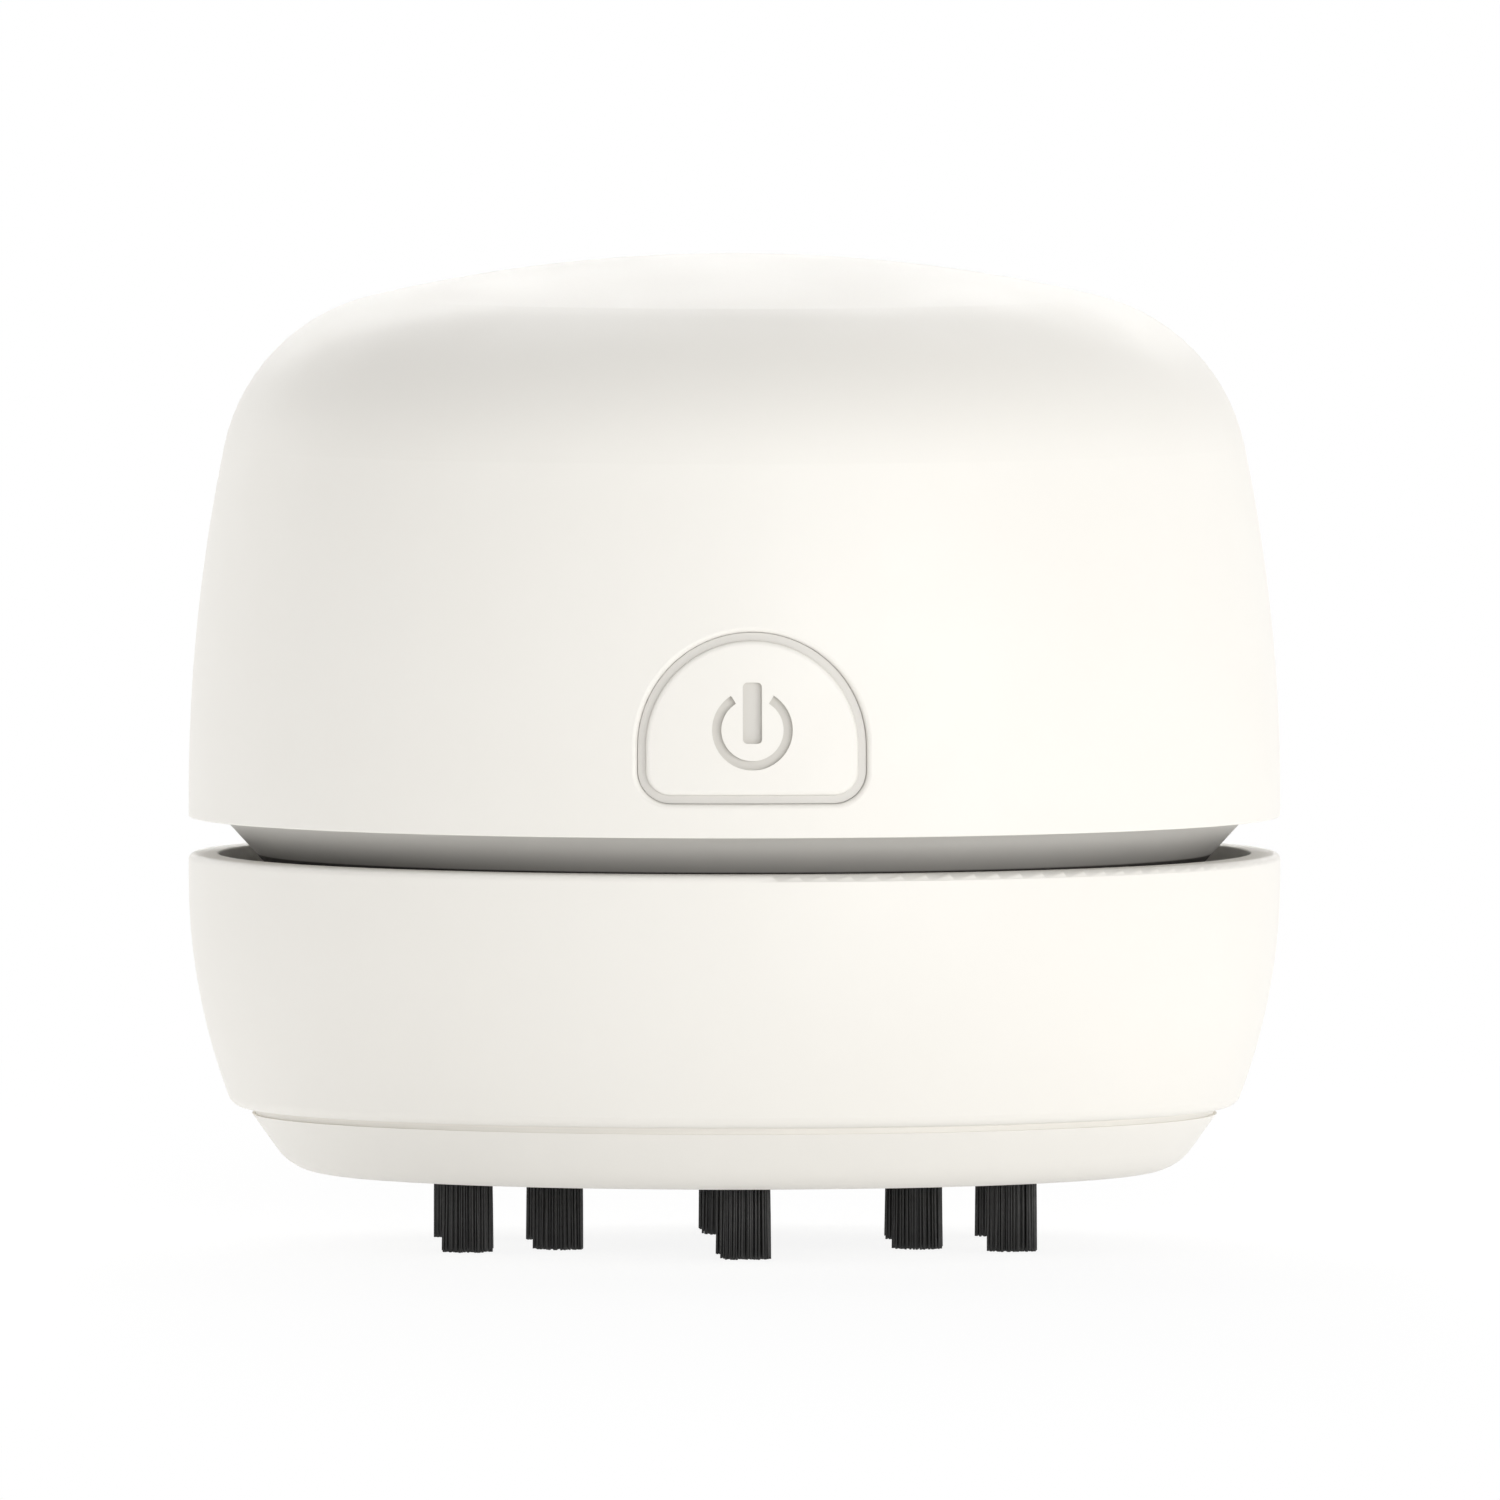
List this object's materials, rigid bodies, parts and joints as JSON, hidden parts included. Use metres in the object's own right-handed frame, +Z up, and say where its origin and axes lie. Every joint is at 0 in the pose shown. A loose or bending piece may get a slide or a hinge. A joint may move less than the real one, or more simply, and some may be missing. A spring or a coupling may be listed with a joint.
{
  "type": "desktop mini vacuum cleaner",
  "caption": "Small round desktop vacuum cleaner with a domed shell, a D-shaped power button at the front, an air gap all round and a dust cup on bristle tufts.",
  "frame": {"origin": "centre of the footprint at the tips of the bristle tufts", "axes": "+Z up along the axis of the round body, -Y the front with the power button, +X to the right seen from the front"},
  "size_m": [0.08, 0.08, 0.0726],
  "materials": {
    "white_plastic": "satin moulded ABS, warm white",
    "grey_plastic": "satin moulded ABS, grey",
    "black_plastic": "moulded nylon, black",
    "seal_rubber": "soft silicone rubber",
    "plated_steel": "nickel-plated sheet steel",
    "screw_steel": "zinc-plated steel",
    "core_steel": "stacked electrical steel",
    "magnet": "sintered ferrite, dark grey",
    "bronze": "oiled sintered bronze",
    "copper": "copper",
    "nickel": "nickel strip",
    "cell_sleeve": "heat-shrink sleeve over a steel can",
    "board": "green solder mask over glass-fibre board",
    "component": "moulded chip packages",
    "ceramic_disc": "dipped ceramic disc",
    "clear_plastic": "clear polycarbonate",
    "filter_fabric": "pleated non-woven filter cloth",
    "red_lead": "PVC-insulated wire",
    "black_lead": "PVC-insulated wire",
    "nylon_bristle": "black nylon filaments"
  },
  "bodies": {
    "dust_cup": {"dust_cup": "white_plastic", "inlet_riser": "white_plastic", "cup_gasket": "seal_rubber", "brush_tray": "white_plastic", "tray_screws": "screw_steel", "bristle_tuft_01": "nylon_bristle", "bristle_tuft_02": "nylon_bristle", "bristle_tuft_03": "nylon_bristle", "bristle_tuft_04": "nylon_bristle", "bristle_tuft_05": "nylon_bristle", "bristle_tuft_06": "nylon_bristle", "bristle_tuft_07": "nylon_bristle", "bristle_tuft_08": "nylon_bristle", "bristle_tuft_09": "nylon_bristle", "bristle_tuft_10": "nylon_bristle", "bristle_tuft_11": "nylon_bristle", "bristle_tuft_12": "nylon_bristle"},
    "filter_unit": {"filter_frame": "grey_plastic", "pleated_filter": "filter_fabric"},
    "main_unit": {"battery_cell": "cell_sleeve", "battery_cradle": "black_plastic", "battery_lead_black": "black_lead", "battery_lead_red": "red_lead", "battery_tabs": "nickel", "board_components": "component", "board_screws": "screw_steel", "cage_screws": "screw_steel", "cage_seal": "seal_rubber", "charge_light": "clear_plastic", "charging_socket": "plated_steel", "chassis": "white_plastic", "circuit_board": "board", "clamp_screws": "screw_steel", "fan_cage": "grey_plastic", "light_pipe": "clear_plastic", "motor_brushes": "copper", "motor_bushes": "bronze", "motor_can": "plated_steel", "motor_clamp": "plated_steel", "motor_damper": "seal_rubber", "motor_end_cap": "black_plastic", "motor_lead_black": "black_lead", "motor_lead_red": "red_lead", "motor_magnets": "magnet", "motor_terminals": "copper", "noise_capacitor": "ceramic_disc", "shell_screws": "screw_steel", "switch_body": "black_plastic", "top_shell": "white_plastic"},
    "power_button": {"power_button": "white_plastic", "switch_stem": "black_plastic"},
    "fan_rotor": {"motor_shaft": "plated_steel", "rotor_core": "core_steel", "rotor_windings": "copper", "commutator": "copper", "impeller": "black_plastic"}
  },
  "joints": [
    {"name": "bayonet_twist", "type": "hinge", "parent": "dust_cup", "child": "filter_unit", "pos_m": [0, 0, 0.018], "axis": [0, 0, -1], "range_deg": [0, 30]},
    {"name": "upper_half_lift", "type": "slide", "parent": "filter_unit", "child": "main_unit", "axis": [0, 0, 1], "range_m": [0, 0.03]},
    {"name": "button_press", "type": "slide", "parent": "main_unit", "child": "power_button", "axis": [0, 1, 0], "range_m": [0, 0.0015], "stiffness_N_per_m": 1200, "springref_m": -0.0004},
    {"name": "fan_spin", "type": "hinge", "parent": "main_unit", "child": "fan_rotor", "pos_m": [0, 0, 0.024], "axis": [0, 0, 1], "continuous": true}
  ]
}
